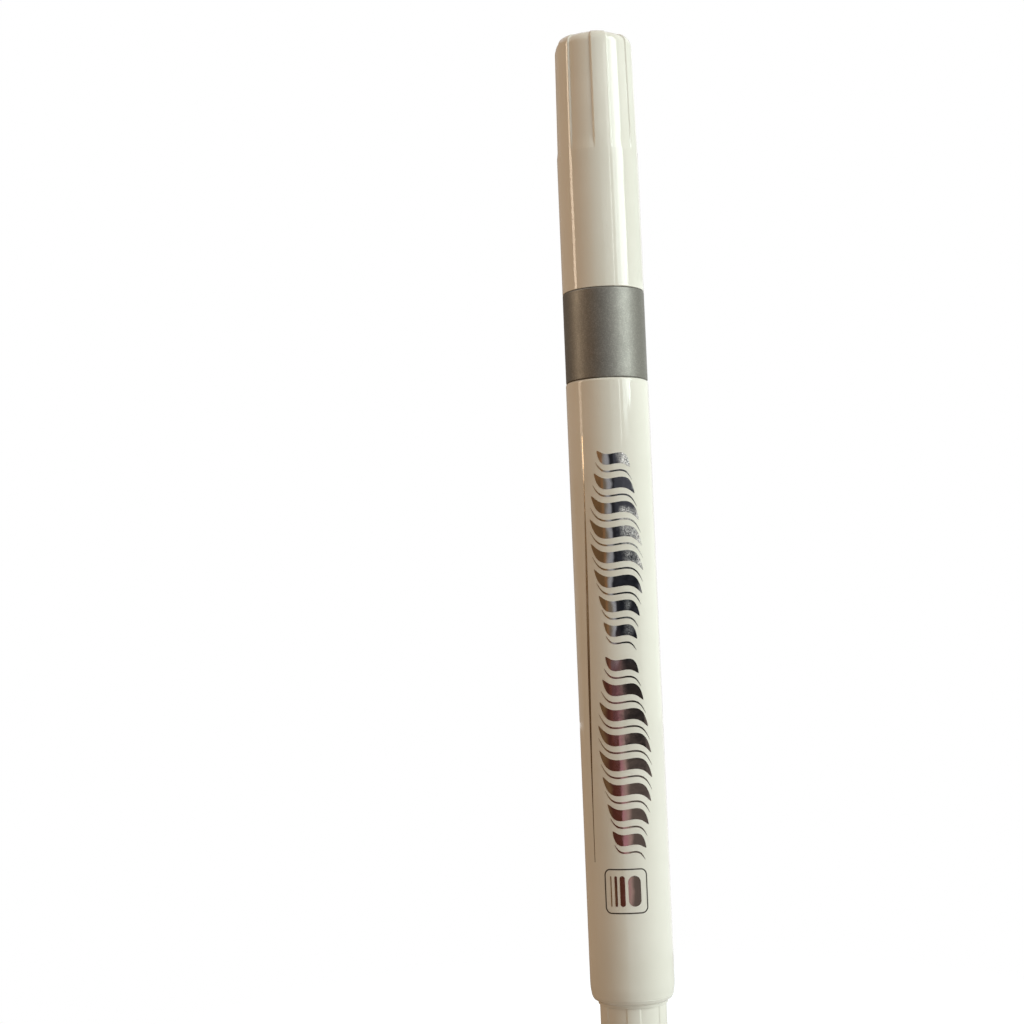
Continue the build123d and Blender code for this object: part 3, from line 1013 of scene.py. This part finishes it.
def card(name, first, last, foot, head, colour, stations=25):
    """Band round the axis between two azimuths that glows inwards; foot and head are (distance, height)."""
    azimuth = np.radians(np.linspace(first, last, stations))[:, None]
    distance, height = np.array([foot, head]).T[:, None]
    points = np.stack([
        distance * np.sin(azimuth),
        -distance * np.cos(azimuth),
        height + 0 * azimuth,
    ], axis=-1).reshape(-1, 3)
    index = np.arange(2 * stations).reshape(stations, 2)
    faces = np.stack([index[:-1, 0], index[:-1, 1], index[1:, 1], index[1:, 0]], axis=-1)
    mesh = bpy.data.meshes.new(name)
    mesh.from_pydata(points, [], faces.tolist())
    made = bpy.data.objects.new(name, mesh)
    bpy.context.scene.collection.objects.link(made)
    made.visible_camera = False
    made.visible_shadow = False
    glow = bpy.data.materials.new(name)
    glow.use_nodes = True
    glow.node_tree.nodes.remove(glow.node_tree.nodes["Principled BSDF"])
    light = add(glow.node_tree, "ShaderNodeEmission", {"Color": (*colour, 1)})
    one_way(glow.node_tree, light)
    mesh.materials.append(glow)
    print(f"{name}: {last - first} degrees round the marker")


card("wood_card", first=-105, last=-22, foot=(0.8, 0.005), head=(0.8, 0.7), colour=(0.40, 0.25, 0.15))
card("grey_card", first=-190, last=-105, foot=(0.8, 0.005), head=(0.8, 0.7), colour=(0.30, 0.25, 0.21))
card("table_card", first=-190, last=-8, foot=(0.006, 0.002), head=(0.8, 0.002), colour=(0.24, 0.15, 0.085))
card("paper_card", first=-8, last=170, foot=(0.006, 0.003), head=(0.07, 0.003), colour=(0.66, 0.67, 0.645))
card("low_card", first=-125, last=-28, foot=(0.15, 0.003), head=(0.15, 0.095), colour=(0.22, 0.145, 0.09))
card("shade_card", first=8, last=66, foot=(0.5, 0.005), head=(0.5, 0.1), colour=(0.16, 0.17, 0.19))
card("dim_card", first=-22, last=8, foot=(0.85, 0.005), head=(0.85, 0.5), colour=(0.30, 0.29, 0.29))
card("pale_card", first=76, last=150, foot=(0.8, 0.27), head=(0.8, 0.5), colour=(0.67, 0.71, 0.67))
card("bright_card", first=76, last=150, foot=(0.8, 0.005), head=(0.8, 0.27), colour=(1.33, 1.38, 1.3))

# %% [markdown]
# ## Floor and sky
#
# The picture's ground is pure white.  Camera, glossy and transmission rays see a white sky of strength one,
# while all others meet a dim warm fill.  For the rays that see, the floor glows as well: near the marker just
# so much that lit floor is white and the shadow still shows, and further off all the way.  The near glow is
# cool to balance the warm fill, and from below the floor is clear, so the tail can be seen.


# %% World
def seen_rays(tree):
    """One for camera, glossy and transmission rays, nought for the rays that carry light."""
    path = add(tree, "ShaderNodeLightPath").outputs
    seen = path["Is Camera Ray"]
    for other in ("Is Glossy Ray", "Is Transmission Ray"):
        seen = add(tree, "ShaderNodeMath", {0: seen, 1: path[other]}, operation="MAXIMUM").outputs[0]
    return seen


world = bpy.data.worlds.new("studio")
bpy.context.scene.world = world
world.use_nodes = True
sky = world.node_tree
backdrop = sky.nodes["Background"]
warm_fill, white = (0.25, 0.16, 0.095), (1, 1, 1)
sky.links.new(tinted(sky, seen_rays(sky), warm_fill, white), backdrop.inputs["Color"])
backdrop.inputs["Strength"].default_value = 1.0
print("sky:", [node.bl_label for node in sky.nodes])

# %% Floor
half_side = 3.0
near, away = 0.03, 0.085
floor_mesh = bpy.data.meshes.new("floor")
floor_corners = np.array([[-1, -1, 0], [1, -1, 0], [1, 1, 0], [-1, 1, 0]]) * half_side
floor_mesh.from_pydata(floor_corners, [], [(0, 1, 2, 3)])
floor = bpy.data.objects.new("floor", floor_mesh)
bpy.context.scene.collection.objects.link(floor)

ground = bpy.data.materials.new("floor_white")
ground.use_nodes = True
tree = ground.node_tree
tree.nodes.remove(tree.nodes["Principled BSDF"])
seen = seen_rays(tree)
spot = add(tree, "ShaderNodeTexCoord").outputs["Object"]
reach = add(tree, "ShaderNodeVectorMath", {0: spot}, operation="LENGTH").outputs["Value"]
fade = {0: reach, 1: near, 2: away}
far = add(tree, "ShaderNodeMapRange", fade, interpolation_type="SMOOTHSTEP").outputs[0]
lit = between(tree, seen, 0.5, between(tree, far, 0.95, 0.0))
matt = add(tree, "ShaderNodeBsdfDiffuse", {"Color": lit})
lift = add(tree, "ShaderNodeMath", {0: seen, 1: between(tree, far, 0.5, 1.0)}, operation="MULTIPLY")
cool = tinted(tree, far, (0.85, 1.0, 1.13), white)
glow = add(tree, "ShaderNodeEmission", {"Color": cool, "Strength": lift.outputs[0]})
total = add(tree, "ShaderNodeAddShader", {0: matt.outputs[0], 1: glow.outputs[0]})
one_way(tree, total)
floor_mesh.materials.append(ground)
print("floor:", 2 * half_side, "m wide,", len(tree.nodes), "nodes")
